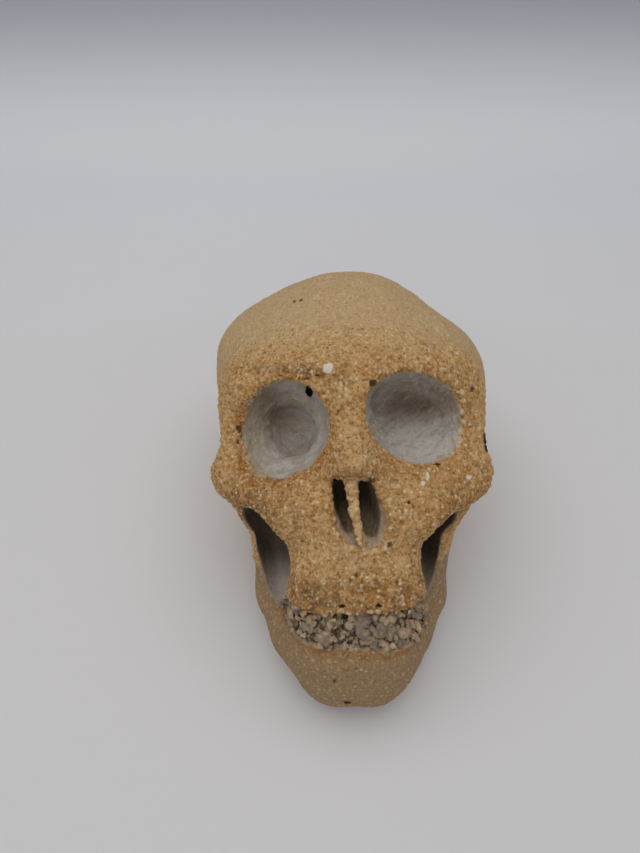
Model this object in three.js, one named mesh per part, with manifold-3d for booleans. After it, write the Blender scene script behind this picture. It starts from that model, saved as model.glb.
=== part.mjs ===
// A small human-type skull, hand-modelled in coarse grogged clay and fired. It lies on its back:
// the back of the head and the underside of the jaw rest on the table, and the face looks up.
//
// Every solid is written in the face frame: x to the skull's own left, y towards the crown,
// z straight out of the face, in millimetres. The outer form is one rounded field of ellipsoids
// and tapered rods. A sphere's vertices are pushed onto that field, the hollows are cut from it,
// and thin cuts part it into the pieces that a person would name. At the end one group leans
// the whole skull back onto the table.
import * as THREE from 'three';
import { mergeVertices } from 'three/addons/utils/BufferGeometryUtils.js';
import Module from 'manifold-3d';

// ---------- driving dimensions ----------
const LEAN_BACK = 40;          // degrees between the face's own z axis and the vertical
const FLOOR_BELOW = 31;        // height of the face frame's origin above the table
const PART_GAP = 0.3;          // width of the thin cuts between the pieces
const SEARCH_RADIUS = 80;      // larger than the skull's reach from any centre
const REGION = 200;            // size of the blocks that bound a piece
const BEYOND = 60;             // further out than any clay, above, below or behind

const HEAD_DETAIL = 11;        // subdivisions of the sphere that takes the head's outer form
const HEAD_CENTRE = [0.8, 3, -9];
const JAW_DETAIL = 7;
const JAW_CENTRE = [0.8, -24, -5];
const FACE_BIAS = 0.22;        // draws a sphere's vertices together on the face side
const POCKET_DETAIL = 4;       // subdivisions of the eye sockets and the other hollows
const SEPTUM_DETAIL = 3;
const TOOTH_CENTRE = [1.3, -26.6, 5];
const TOOTH_DETAIL = 6;        // the tooth band is pebbly, so its facets are smaller

const FACE_WIDTH = [-14.4, 15.9];      // the middle of the face, between the cheekbones
const NOSTRIL_LEVEL = -6;              // the face ends here and the upper jaw begins
const LIP = { lowest: -24, rise: 0.004, centre: -6 };          // lower edge of the upper jaw
const GUM = { lowest: -31.4, rise: 0.0035, centre: 4 };        // lower edge of the tooth band
const BITE_FRONT = 18;         // z at which the two edges above are measured
const LIP_DEPTH = 0.8;         // the clay reaches this far below the lip before it is cut
const BITE_SLOPE = 14;         // degrees that the bite rises from the front towards the back
const TOOTH_BACK = -3;         // how far back the tooth band reaches, in z
const TOOTH_SIDES = [-14.6, 16];
const PEBBLE = { height: 0.45, pitch: 2.6 };

const wasm = await Module();
wasm.setup();

// ---------- the rounded field: negative inside, about a distance in mm outside ----------
function turned(rotation) {
  const angles = rotation.map(THREE.MathUtils.degToRad);
  return new THREE.Matrix3().setFromMatrix4(
    new THREE.Matrix4().makeRotationFromEuler(new THREE.Euler(...angles, 'ZYX')),
  ).transpose();
}

function ellipsoid(centre, radii, rotation = [0, 0, 0]) {
  const inverse = turned(rotation);
  const middle = new THREE.Vector3(...centre);
  const size = new THREE.Vector3(...radii);
  const local = new THREE.Vector3();
  return (point) => {
    local.copy(point).sub(middle).applyMatrix3(inverse).divide(size);
    const reach = local.length();
    const slope = local.divide(size).length();
    return (reach * (reach - 1)) / Math.max(slope, 1e-9);
  };
}

function rod(start, end, startRadius, endRadius) {
  const base = new THREE.Vector3(...start);
  const axis = new THREE.Vector3(...end).sub(base);
  const offset = new THREE.Vector3();
  return (point) => {
    offset.copy(point).sub(base);
    const along = THREE.MathUtils.clamp(offset.dot(axis) / axis.lengthSq(), 0, 1);
    const radius = startRadius + (endRadius - startRadius) * along;
    return offset.addScaledVector(axis, -along).length() - radius;
  };
}

function blend(a, b, softness) {
  const near = Math.max(softness - Math.abs(a - b), 0) / softness;
  return Math.min(a, b) - (near * near * softness) / 4;
}

// joins shapes in order, each with the width of the fillet to those before it
function joined(first, ...others) {
  return (point) => others.reduce((sum, [shape, fillet]) => blend(sum, shape(point), fillet),
    first(point));
}

const archAt = (arch, x) => arch.lowest + arch.rise * (x - arch.centre) ** 2;

// ---------- the sub-parts of the outer form ----------
const braincaseForm = joined(
  ellipsoid([0.8, 20.5, -18], [30.6, 24.5, 29.5]),
  [ellipsoid([0.8, 20, -5], [26.5, 20, 20.5]), 8],          // forehead
  [ellipsoid([-14.4, 28.5, -20], [17, 15.5, 18]), 6],       // upper sides
  [ellipsoid([16.5, 24, -20], [16.8, 15, 18]), 6],
  [ellipsoid([0.3, 35.5, -18], [17, 13.6, 18]), 8],         // crown
  [ellipsoid([0.5, 6, -22], [23, 18.5, 18.5]), 8],          // back of the head
  [ellipsoid([0.8, -10, -12], [16.5, 14, 14]), 8],          // base of the skull
);

const faceForm = joined(
  ellipsoid([0.8, 8, 2], [23.5, 17, 13.5]),
  [rod([-20.5, 20.5, 6], [-4, 21.5, 13], 3.8, 4.4), 5],     // brows
  [rod([21, 22.5, 5.5], [5, 23.5, 13], 3.8, 4.4), 5],
  [rod([-24, 17, 1], [-24.3, 3, 3.3], 2.8, 2.9), 5],        // outer rims of the eye sockets
  [rod([25.2, 19, 0], [25.2, 5, 3], 3, 3.8), 5],
  [rod([-24, 0.8, 3.3], [-13, -4.6, 12], 3.9, 5), 6],       // cheekbones
  [rod([25, 1, 3.5], [15, -4.2, 12], 4.2, 5), 6],
  [rod([-25.4, 1.8, 1], [-24.5, 3.5, -16], 3.2, 3), 4],     // cheek arches
  [rod([26, 1.8, 1], [25, 3.5, -16], 3.4, 3), 4],
  [rod([-24.3, -1, -1], [-20.8, -8.5, -2], 2.8, 2.4), 3],   // where they meet the lower jaw
  [rod([25.6, -1, -1], [21.6, -8.5, -2], 3.2, 2.6), 3],
  [rod([-0.8, 21, 13], [0.3, 4.5, 16.8], 4.6, 3.4), 5],     // bridge of the nose
);

const upperJawMass = joined(
  ellipsoid([1.1, -8, 4], [15.1, 16, 14.8]),
  [rod([-5.2, -20.5, 10.8], [7.6, -20.5, 10.8], 7.7, 7.7), 4],        // bulge above the teeth
);
const biteSlope = Math.tan(THREE.MathUtils.degToRad(BITE_SLOPE));
const upperJawForm = (point) => {
  const lip = archAt(LIP, point.x) - biteSlope * (point.z - BITE_FRONT);
  const belowLip = lip - LIP_DEPTH - point.y;
  return -blend(-upperJawMass(point), -belowLip, 1.6);
};

const lowerJawForm = joined(
  rod([-2.4, -38.8, 4.2], [3.9, -38.8, 4.2], 7.5, 7.5),     // chin
  [rod([-3.5, -37.5, 4], [-9.6, -32, -1], 7.4, 6.8), 4],    // sides of the jaw
  [rod([4.8, -37.5, 4], [10.6, -32, -1], 7.4, 6.8), 4],
  [rod([-9.6, -32, -1], [-13.8, -26, -6], 6.8, 6.2), 4],
  [rod([10.6, -32, -1], [15.2, -26, -6], 6.8, 6.2), 4],
  [rod([-14.2, -26, -7], [-16.2, -12, -6], 6, 5.2), 3],     // upright branches
  [rod([15.8, -26, -7], [18, -12, -6], 6, 5.2), 3],
  [rod([-16.2, -12, -6], [-20.2, -2, -6], 5.2, 4.6), 3],
  [rod([18, -12, -6], [21.8, -2, -6], 5.2, 4.6), 3],
  [rod([-4.2, -32, 7], [5.8, -32, 7], 9.2, 9.2), 4],        // front, below the teeth
  [ellipsoid([0.8, -21.5, -6], [15, 15, 14.8]), 3],         // solid clay behind the teeth
);

const toothForm = rod([-4.4, -26.6, 9.2], [7, -26.6, 9.2], 8.4, 8.4);

const headForm = joined(braincaseForm, [faceForm, 7], [upperJawForm, 5]);

// rough lumps of grog stand out of the tooth band
function pebbledTeeth(point) {
  const wave = (2 * Math.PI) / PEBBLE.pitch;
  const sway = 0.8 * Math.sin((wave * point.x) / 2);
  const lumps = Math.sin(wave * point.x) * Math.sin(wave * point.y + sway)
    * Math.cos(wave * point.z * 0.7);
  return toothForm(point) - PEBBLE.height * lumps;
}

// ---------- the hollows ----------
const rightSocket = joined(
  ellipsoid([-14.6, 11.3, 13.2], [11.4, 9.1, 9], [-14.5, -20.4, 35.4]),
  [ellipsoid([-12, 11.2, 4.6], [5.2, 5.2, 4.6]), 2.2],      // deeper pit in its floor
);
const leftSocket = joined(
  ellipsoid([13.5, 13.8, 13.8], [12.1, 8.8, 10], [-7.8, 23.7, -18.2]),
  [ellipsoid([12, 16, 7], [8, 4.8, 5.4], [0, 0, -20]), 3],  // deepest above its middle
);
const noseHollow = joined(
  ellipsoid([1.8, -4.8, 20], [6.2, 7.9, 5.2], [0, 0, 28]),  // funnel
  [ellipsoid([-1.8, -3, 14], [1.8, 5.8, 6], [0, 0, 13]), 1.2],        // the two deep channels
  [ellipsoid([3.1, -3.6, 13.5], [2.1, 6.2, 7], [0, 0, 8]), 1.2],
);
const rightRecess = joined(                                 // between cheek, upper jaw and branch
  ellipsoid([-16.5, -15.4, 3], [3.8, 10.6, 13], [10, 0, 9]),
  [ellipsoid([-18.6, -8.4, 6], [5.6, 3.4, 12], [0, 0, -38]), 2],
);
const leftRecess = joined(
  ellipsoid([17.2, -15.2, 4], [2.8, 10.2, 14], [8, 0, -6]),
  [ellipsoid([19.6, -8, 6], [4.4, 3, 12], [0, 0, 33]), 2],
);
const septumForm = joined(
  rod([-0.3, 1.8, 17], [0.3, -4.4, 17.6], 1.3, 0.9),
  [rod([0.3, -4.4, 17.6], [1.7, -10.4, 17.6], 0.9, 0.5), 0.6],
  [ellipsoid([0.6, -4, 13.5], [0.7, 7, 4.6], [0, 0, 11]), 0.6],
);

// ---------- turning a field into a closed solid ----------
function positionsOnly(geometry) {
  geometry.deleteAttribute('normal');
  geometry.deleteAttribute('uv');
  return mergeVertices(geometry, 1e-5);
}

function toSolid(geometry) {
  const plain = positionsOnly(geometry);
  return new wasm.Manifold(new wasm.Mesh({
    numProp: 3,
    vertProperties: Float32Array.from(plain.attributes.position.array),
    triVerts: Uint32Array.from(plain.index.array),
  }));
}

// Pushes a sphere's vertices from outside onto the surface where form equals level.
function solidOf(form, centre, detail, { bias = 0, level = 0 } = {}) {
  const sphere = positionsOnly(new THREE.IcosahedronGeometry(1, detail));
  const vertices = sphere.attributes.position;
  const middle = new THREE.Vector3(...centre);
  const direction = new THREE.Vector3();
  const point = new THREE.Vector3();
  for (let i = 0; i < vertices.count; i += 1) {
    direction.fromBufferAttribute(vertices, i).normalize();
    direction.z += bias;
    direction.normalize();
    let reach = SEARCH_RADIUS;
    for (let step = 0; step < 200; step += 1) {
      const gap = form(point.copy(middle).addScaledVector(direction, reach)) - level;
      if (gap < 0.002) break;
      reach -= gap * 0.7;
    }
    vertices.setXYZ(i, point.x, point.y, point.z);
  }
  return toSolid(sphere);
}

// a large block whose near face lies on the plane normal . p = distance, filling the far side
function beyond(normal, distance) {
  const out = new THREE.Vector3(...normal).normalize();
  const block = new THREE.BoxGeometry(REGION, REGION, REGION);
  block.translate(0, 0, REGION / 2 + distance);
  block.applyQuaternion(new THREE.Quaternion().setFromUnitVectors(new THREE.Vector3(0, 0, 1), out));
  return toSolid(block);
}

// The column of clay between two levels of the bite and two sides, from z = back to the front.
// upper and lower give the height of its two edges above each x.
function biteRegion(upper, lower, sides, back, grow = 0) {
  const [left, right] = [sides[0] - grow, sides[1] + grow];
  const steps = 12;
  const across = Array.from({ length: steps + 1 }, (_, i) => left + ((right - left) * i) / steps);
  const outline = [
    ...across.map((x) => new THREE.Vector2(x, lower(x) - grow)),
    ...across.reverse().map((x) => new THREE.Vector2(x, upper(x) + grow)),
  ];
  const column = new THREE.ExtrudeGeometry(new THREE.Shape(outline), {
    depth: REGION, bevelEnabled: false,
  });
  const shear = new THREE.Matrix4().makeShear(0, 0, 0, 0, 0, -biteSlope);
  column.translate(0, 0, back - grow - BITE_FRONT);
  column.applyMatrix4(shear);
  column.translate(0, 0, BITE_FRONT);
  return toSolid(column);
}

// ---------- the whole skull, hollowed and resting on its flats ----------
const lean = THREE.MathUtils.degToRad(LEAN_BACK);
const upwards = [0, Math.sin(lean), Math.cos(lean)];
const aboveTable = beyond(upwards, -FLOOR_BELOW);

const NOSE_CENTRE = [1.2, -4, 17];
const hollows = [
  solidOf(rightSocket, [-12, 11.6, 8], POCKET_DETAIL),
  solidOf(leftSocket, [12, 15, 10], POCKET_DETAIL),
  solidOf(noseHollow, NOSE_CENTRE, POCKET_DETAIL),
  solidOf(rightRecess, [-16.6, -12, 5], POCKET_DETAIL),
  solidOf(leftRecess, [17.6, -12, 5], POCKET_DETAIL),
];
const hollowOut = (solid) => hollows.reduce((rest, hollow) => rest.subtract(hollow), solid);
const headAt = (level) => solidOf(headForm, HEAD_CENTRE, HEAD_DETAIL, { bias: FACE_BIAS, level });
const head = hollowOut(headAt(0)).intersect(aboveTable);

// ---------- thin cuts between the named pieces ----------
const half = PART_GAP / 2;
const browCut = { normal: [0, -0.74, 0.67], distance: -14.1 };      // from the brow inwards
const baseCut = { normal: [0, -0.148, 0.989], distance: -15.6 };    // on down behind the jaws
const inFrontOf = (cut, gap) => beyond(cut.normal, cut.distance + gap);

const lipAt = (x) => archAt(LIP, x);
const gumAt = (x) => archAt(GUM, x);

const front = head.intersect(inFrontOf(browCut, half)).intersect(inFrontOf(baseCut, half));
const frontRoom = inFrontOf(browCut, -half).intersect(inFrontOf(baseCut, -half));
const middleOf = (solid) => solid.intersect(beyond([1, 0, 0], FACE_WIDTH[0] + half))
  .intersect(beyond([-1, 0, 0], half - FACE_WIDTH[1]));
const underLip = (x) => lipAt(x) - PART_GAP;
const upperJawRegion = biteRegion(() => BEYOND, lipAt, FACE_WIDTH, -BEYOND);
const toothRegion = biteRegion(underLip, gumAt, TOOTH_SIDES, TOOTH_BACK);
const toothRoom = biteRegion(underLip, gumAt, TOOTH_SIDES, TOOTH_BACK, PART_GAP);

// the lower jaw fills what the head leaves free, and all that lies under the upper jaw
const underBite = biteRegion(underLip, () => -BEYOND, FACE_WIDTH, -BEYOND, -half)
  .intersect(inFrontOf(baseCut, half));
const headRoom = headAt(PART_GAP).subtract(underBite);
const jawHull = solidOf(lowerJawForm, JAW_CENTRE, JAW_DETAIL, { bias: FACE_BIAS });
const jaw = hollowOut(jawHull.subtract(headRoom)).intersect(aboveTable);

const braincase = head.subtract(frontRoom);
const face = middleOf(front).intersect(beyond([0, 1, 0], NOSTRIL_LEVEL + half));
const rightCheekbone = front.intersect(beyond([-1, 0, 0], half - FACE_WIDTH[0]));
const leftCheekbone = front.intersect(beyond([1, 0, 0], FACE_WIDTH[1] + half));
const upperJaw = middleOf(front).intersect(upperJawRegion)
  .intersect(beyond([0, -1, 0], half - NOSTRIL_LEVEL));
const toothBand = solidOf(pebbledTeeth, TOOTH_CENTRE, TOOTH_DETAIL, { bias: FACE_BIAS })
  .intersect(toothRegion);
const toothReach = PART_GAP + PEBBLE.height;
const toothSeat = solidOf(toothForm, TOOTH_CENTRE, POCKET_DETAIL, { level: toothReach });
const lowerJaw = jaw.subtract(toothSeat.intersect(toothRoom));
const septum = solidOf(septumForm, [0.5, -4, 15.5], SEPTUM_DETAIL)
  .intersect(solidOf(noseHollow, NOSE_CENTRE, POCKET_DETAIL, { level: -PART_GAP }));

// ---------- named meshes ----------
const clay = (colour) => new THREE.MeshStandardMaterial({
  color: colour, roughness: 0.92, metalness: 0, flatShading: true,
});

function namedMesh(name, solid, colour) {
  const shape = solid.getMesh();
  const geometry = new THREE.BufferGeometry();
  geometry.setAttribute('position', new THREE.BufferAttribute(shape.vertProperties, 3));
  geometry.setIndex(new THREE.BufferAttribute(shape.triVerts, 1));
  geometry.computeVertexNormals();
  const mesh = new THREE.Mesh(geometry, clay(colour));
  mesh.name = name;
  return mesh;
}

const skull = new THREE.Group();
skull.add(
  namedMesh('braincase', braincase, 0xa88b66),
  namedMesh('face', face, 0xa9814f),
  namedMesh('cheekbone_right', rightCheekbone, 0xa57c4c),
  namedMesh('cheekbone_left', leftCheekbone, 0xa57c4c),
  namedMesh('upper_jaw', upperJaw, 0x9a7040),
  namedMesh('nasal_septum', septum, 0xb59a6e),
  namedMesh('tooth_band', toothBand, 0x8b8175),
  namedMesh('lower_jaw', lowerJaw, 0xa08561),
);

// lean back onto the table, with the origin under the middle of the outline
skull.rotation.x = lean;
skull.position.z = FLOOR_BELOW;
skull.updateMatrixWorld(true);
const outline = new THREE.Box3().setFromObject(skull, true);
const middle = outline.getCenter(new THREE.Vector3());
skull.position.x = -middle.x;
skull.position.y = -middle.y;

const part = new THREE.Group();
part.add(skull);
export default part;
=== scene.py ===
import math

import bpy
import numpy as np
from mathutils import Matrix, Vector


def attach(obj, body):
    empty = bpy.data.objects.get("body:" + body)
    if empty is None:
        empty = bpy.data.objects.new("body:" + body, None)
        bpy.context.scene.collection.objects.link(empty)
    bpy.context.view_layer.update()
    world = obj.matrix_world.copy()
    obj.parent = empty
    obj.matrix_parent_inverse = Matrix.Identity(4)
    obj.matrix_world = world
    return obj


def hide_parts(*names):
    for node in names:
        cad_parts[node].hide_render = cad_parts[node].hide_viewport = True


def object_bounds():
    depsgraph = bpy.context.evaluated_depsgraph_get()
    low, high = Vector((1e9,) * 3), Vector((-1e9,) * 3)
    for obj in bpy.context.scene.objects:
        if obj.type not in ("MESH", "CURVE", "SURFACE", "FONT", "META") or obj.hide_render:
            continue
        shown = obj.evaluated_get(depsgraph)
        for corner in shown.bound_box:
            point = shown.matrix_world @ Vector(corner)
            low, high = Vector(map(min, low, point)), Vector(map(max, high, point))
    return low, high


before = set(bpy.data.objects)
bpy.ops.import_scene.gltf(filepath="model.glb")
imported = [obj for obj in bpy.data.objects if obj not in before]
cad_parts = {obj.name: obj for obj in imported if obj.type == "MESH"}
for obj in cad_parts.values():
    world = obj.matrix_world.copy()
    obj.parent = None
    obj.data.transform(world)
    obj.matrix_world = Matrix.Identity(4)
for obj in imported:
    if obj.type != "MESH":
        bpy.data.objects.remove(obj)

import openvdb
from mathutils import Matrix, Vector

CAD_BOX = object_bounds()
MM = 0.001
SEED = 20

# ---------- driving dimensions, the same as the CAD's ----------
LEAN_BACK = math.radians(40)
FLOOR_BELOW = 31.0
LIP = (-24.0, 0.004, -6.0)         # lower edge of the upper jaw: lowest, rise, where lowest
GUM = (-31.4, 0.0035, 4.0)         # lower edge of the tooth band
BITE_FRONT = 18.0
BITE_SLOPE = math.tan(math.radians(14))
LIP_DEPTH = 0.3

# ---------- the sampling grid ----------
VOXEL = 0.24
BLOCK = 16                         # grid steps in one block of the sampling
GRID_LOW = np.array([-34.0, -49.0, -51.0])
GRID_HIGH = np.array([36.0, 53.0, 23.0])
FAR = 1.0                          # distances beyond this are cut off in the grid

# ---------- places in the face frame ----------
MIDLINE = 0.8
RIGHT_PIT = (-12.0, 11.2, 4.6)     # the deeper pit in the floor of the right socket
CHIN_BEAD = (0.6, -46.4, 4.0)      # a crumb of clay under the chin
STAIN = (29.3, 8.9, 4.0)           # the black stain on the left temple
STAIN_REACH = (1.5, 3.0, 3.2)
TEETH_BOX = ((-15.5, -34, -1), (18.5, -19, 20))
SEPTUM_BOX = ((-3.5, -12, 8), (4, 3, 20))

# ---------- the torn lumps of the tooth band ----------
PEBBLE_PITCH = 1.55
PEBBLE_HEIGHT = 2.5
PEBBLE_REACH = 0.66                # in pitches, as the small ones' is in theirs
SMALL_PEBBLE_PITCH = 0.55          # of the small lumps between them, in pitches of the large ones
SMALL_PEBBLE_HEIGHT = 0.66         # in heights of the large ones
SMALL_PEBBLE_REACH = 0.76
WORN_LUMP = (2.2, -25.8, 2.0, 2.2)  # a smooth place among them: x, y, reach across and up

rng = np.random.default_rng(SEED)


# ---------- the rounded field: negative inside, about a distance in mm outside ----------
def turn_matrix(degrees):
    rx, ry, rz = (math.radians(angle) for angle in degrees)
    turn = Matrix.Rotation(rz, 3, "Z") @ Matrix.Rotation(ry, 3, "Y") @ Matrix.Rotation(rx, 3, "X")
    return np.array(turn, dtype=np.float32)


def ellipsoid(centre, radii, turn=(0, 0, 0)):
    to_local = turn_matrix(turn).T

    def field(x, y, z):
        x, y, z = x - centre[0], y - centre[1], z - centre[2]
        if any(turn):
            x, y, z = (row[0] * x + row[1] * y + row[2] * z for row in to_local)
        x, y, z = (x / radii[0]) ** 2, (y / radii[1]) ** 2, (z / radii[2]) ** 2
        reach = np.sqrt(x + y + z)
        slope = np.sqrt(x / radii[0] ** 2 + y / radii[1] ** 2 + z / radii[2] ** 2)
        return reach * (reach - 1) / np.maximum(slope, 1e-6)
    return field


def rod(start, end, start_radius, end_radius):
    axis = [b - a for a, b in zip(start, end)]
    length_squared = sum(part * part for part in axis)

    def field(x, y, z):
        x, y, z = x - start[0], y - start[1], z - start[2]
        along = np.clip((x * axis[0] + y * axis[1] + z * axis[2]) / length_squared, 0, 1)
        off = (x - along * axis[0]) ** 2 + (y - along * axis[1]) ** 2 + (z - along * axis[2]) ** 2
        return np.sqrt(off) - (start_radius + (end_radius - start_radius) * along)
    return field


def blend(a, b, softness):
    near = np.maximum(softness - np.abs(a - b), 0) / softness
    return np.minimum(a, b) - near * near * softness / 4


def carve(a, b, softness):
    return -blend(-a, b, softness)


def joined(first, *others):
    def field(x, y, z):
        total = first(x, y, z)
        for shape, fillet in others:
            total = blend(total, shape(x, y, z), fillet)
        return total
    return field


def arch_at(arch, x):
    lowest, rise, centre = arch
    return lowest + rise * (x - centre) ** 2


# ---------- the sub-parts of the outer form ----------
braincase_form = joined(
    ellipsoid((0.8, 20.5, -18), (30.6, 24.5, 29.5)),
    (ellipsoid((0.8, 20, -5), (26.5, 20, 20.5)), 8),             # forehead
    (ellipsoid((-14.4, 28.5, -20), (17, 15.5, 18)), 6),          # upper sides
    (ellipsoid((16.5, 24, -20), (16.8, 15, 18)), 6),
    (ellipsoid((0.3, 35.5, -18), (17, 13.6, 18)), 8),            # crown
    (ellipsoid((0.5, 6, -22), (23, 18.5, 18.5)), 8),             # back of the head
    (ellipsoid((0.8, -10, -12), (16.5, 14, 14)), 8),             # base of the skull
)
face_form = joined(
    ellipsoid((0.8, 8, 2), (23.5, 17, 13.5)),
    (rod((-20.5, 20.5, 6), (-4, 21.5, 13), 3.8, 4.4), 5),        # brows
    (rod((21, 22.5, 5.5), (5, 23.5, 13), 3.8, 4.4), 5),
    (rod((-24, 17, 1), (-24.3, 3, 3.3), 2.8, 2.9), 5),           # outer rims of the sockets
    (rod((25.2, 19, 0), (25.2, 5, 3), 3, 3.8), 5),
    (rod((-24, 0.8, 3.3), (-13, -4.6, 12), 3.9, 5), 6),          # cheekbones
    (rod((25, 1, 3.5), (15, -4.2, 12), 4.2, 5), 6),
    (rod((-25.4, 1.8, 1), (-24.5, 3.5, -16), 3.2, 3), 4),        # cheek arches
    (rod((26, 1.8, 1), (25, 3.5, -16), 3.4, 3), 4),
    (rod((-24.3, -1, -1), (-20.8, -8.5, -2), 2.8, 2.4), 3),      # where they meet the lower jaw
    (rod((25.6, -1, -1), (21.6, -8.5, -2), 3.2, 2.6), 3),
    (rod((-0.8, 21, 13), (0.3, 4.5, 16.8), 4.6, 3.4), 5),        # bridge of the nose
)
upper_jaw_mass = joined(
    ellipsoid((1.1, -8, 4), (15.1, 16, 14.8)),
    (rod((-5.2, -20.5, 10.8), (7.6, -20.5, 10.8), 7.7, 7.7), 4), # bulge above the teeth
)
lower_jaw_form = joined(
    rod((-2.4, -38.8, 4.2), (3.9, -38.8, 4.2), 7.5, 7.5),        # chin
    (rod((-3.5, -37.5, 4), (-9.6, -32, -1), 7.4, 6.8), 4),       # sides of the jaw
    (rod((4.8, -37.5, 4), (10.6, -32, -1), 7.4, 6.8), 4),
    (rod((-9.6, -32, -1), (-13.8, -26, -6), 6.8, 6.2), 4),
    (rod((10.6, -32, -1), (15.2, -26, -6), 6.8, 6.2), 4),
    (rod((-14.2, -26, -7), (-16.2, -12, -6), 6, 5.2), 3),        # upright branches
    (rod((15.8, -26, -7), (18, -12, -6), 6, 5.2), 3),
    (rod((-16.2, -12, -6), (-20.2, -2, -6), 5.2, 4.6), 3),
    (rod((18, -12, -6), (21.8, -2, -6), 5.2, 4.6), 3),
    (rod((-4.2, -32, 7), (5.8, -32, 7), 9.2, 9.2), 4),           # front, below the teeth
    (ellipsoid((0.8, -21.5, -6), (15, 15, 14.8)), 3),            # solid clay behind the teeth
)
tooth_form = rod((-4.4, -26.6, 9.2), (7, -26.6, 9.2), 8.4, 8.4)

right_socket = joined(
    ellipsoid((-14.6, 11.3, 13.2), (11.4, 9.1, 9), (-14.5, -20.4, 35.4)),
    (ellipsoid(RIGHT_PIT, (5.2, 5.2, 4.6)), 2.2),
)
left_socket = joined(
    ellipsoid((13.5, 13.8, 13.8), (12.1, 8.8, 10), (-7.8, 23.7, -18.2)),
    (ellipsoid((12, 16, 7), (8, 4.8, 5.4), (0, 0, -20)), 3),      # deepest above its middle
)
nose_hollow = joined(
    ellipsoid((1.8, -4.8, 20), (6.2, 7.9, 5.2), (0, 0, 28)),     # funnel
    (ellipsoid((-1.8, -3, 14), (1.8, 5.8, 6), (0, 0, 13)), 1.2),
    (ellipsoid((3.1, -3.6, 13.5), (2.1, 6.2, 7), (0, 0, 8)), 1.2),  # the two deep channels
)
right_recess = joined(
    ellipsoid((-16.5, -15.4, 3), (3.8, 10.6, 13), (10, 0, 9)),
    (ellipsoid((-18.6, -8.4, 6), (5.6, 3.4, 12), (0, 0, -38)), 2),
)
left_recess = joined(
    ellipsoid((17.2, -15.2, 4), (2.8, 10.2, 14), (8, 0, -6)),
    (ellipsoid((19.6, -8, 6), (4.4, 3, 12), (0, 0, 33)), 2),
)
septum_form = joined(
    rod((-0.3, 1.8, 17), (0.3, -4.4, 17.6), 1.3, 0.9),
    (rod((0.3, -4.4, 17.6), (1.7, -10.4, 17.6), 0.9, 0.5), 0.6),
    (ellipsoid((0.6, -4, 13.5), (0.7, 7, 4.6), (0, 0, 11)), 0.6),
)


def upper_jaw_form(x, y, z):
    below_lip = arch_at(LIP, x) - LIP_DEPTH - y - BITE_SLOPE * (z - BITE_FRONT)
    return -blend(-upper_jaw_mass(x, y, z), -below_lip, 1.2)


head_form = joined(braincase_form, (face_form, 7), (upper_jaw_form, 5))


def above_table(x, y, z):
    """Negative above the table that the skull lies on, positive below it."""
    return -(y * math.sin(LEAN_BACK) + z * math.cos(LEAN_BACK) + FLOOR_BELOW)


def skull_form(x, y, z):
    body = blend(head_form(x, y, z), lower_jaw_form(x, y, z), 2)
    body = blend(body, tooth_form(x, y, z), 0.6)
    body = carve(body, right_socket(x, y, z), 1.5)
    body = carve(body, left_socket(x, y, z), 1.5)
    body = carve(body, nose_hollow(x, y, z), 1.2)
    body = carve(body, right_recess(x, y, z), 0.8)
    body = carve(body, left_recess(x, y, z), 0.8)
    body = blend(body, septum_form(x, y, z), 0.5)
    return body


# ---------- seeded noise ----------
class Lattice:
    """Smooth random values between -1 and 1 on a wrapped grid of points."""

    def __init__(self, size=48):
        self.size = size
        self.values = rng.uniform(-1, 1, (size, size, size)).astype(np.float32)
        self.twist = turn_matrix((31, 47, 22))     # keeps its rows out of line with the face

    def at(self, points, pitch):
        scaled = points @ self.twist / pitch
        base = np.floor(scaled).astype(int)
        part = scaled - base
        part = part * part * (3 - 2 * part)
        total = 0.0
        for corner in np.ndindex(2, 2, 2):
            spot = (base + corner) % self.size
            weight = np.prod(np.where(corner, part, 1 - part), axis=-1)
            total = total + weight * self.values[spot[..., 0], spot[..., 1], spot[..., 2]]
        return total


def cells(points, pitch, seed, size=64):
    """Distance to the nearest of some scattered points, in pitches, and its two random numbers."""
    scatter = np.random.default_rng(seed).random((size, size, size, 5)).astype(np.float32)
    scaled = (points / pitch).astype(np.float32)
    base = np.floor(scaled).astype(np.int32)
    part = scaled - base
    nearest = np.full(len(points), 9, dtype=np.float32)
    chance = np.zeros((len(points), 2), dtype=np.float32)
    for corner in np.ndindex(3, 3, 3):
        shift = np.array(corner) - 1
        spot = (base + shift) % size
        data = scatter[spot[:, 0], spot[:, 1], spot[:, 2]]
        away = data[:, :3] + (shift - part)
        distance = np.sqrt(np.einsum("ij,ij->i", away, away))
        closer = distance < nearest
        nearest = np.where(closer, distance, nearest)
        chance[closer] = data[closer, 3:]
    return nearest, chance[:, 0], chance[:, 1]


def ramp(value, low, high):
    """0 up to the low value, 1 from the high one on, and a smooth rise between them."""
    part = np.clip((value - low) / (high - low), 0, 1)
    return part * part * (3 - 2 * part)


def band(value, middle, reach):
    """1 at the middle value, falling off softly on both sides."""
    return np.exp(-((value - middle) / reach) ** 2)


def patch(x, y, place):
    """1 in the middle of a soft patch seen from the front, falling off over its reach."""
    middle_x, middle_y, across, up = place
    return np.exp(-((x - middle_x) / across) ** 2 - ((y - middle_y) / up) ** 2)


lattice = Lattice()


def lattice_columns(points, pitch, shifts):
    """Values of the noise at several shifted places for each point, one column for each shift."""
    return np.stack([lattice.at(points + shift, pitch) for shift in shifts], axis=1)


def layered(points, layers):
    """Sum of several layers of the noise, each with its pitch, height and shift."""
    total = 0.0
    for pitch, height, shift in layers:
        total = total + height * lattice.at(points + shift, pitch)
    return total


# ---------- sampling the form on a grid ----------
counts = np.ceil((GRID_HIGH - GRID_LOW) / VOXEL / BLOCK).astype(int) * BLOCK
axes = [(GRID_LOW[k] + VOXEL * np.arange(counts[k])).astype(np.float32) for k in range(3)]


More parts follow.
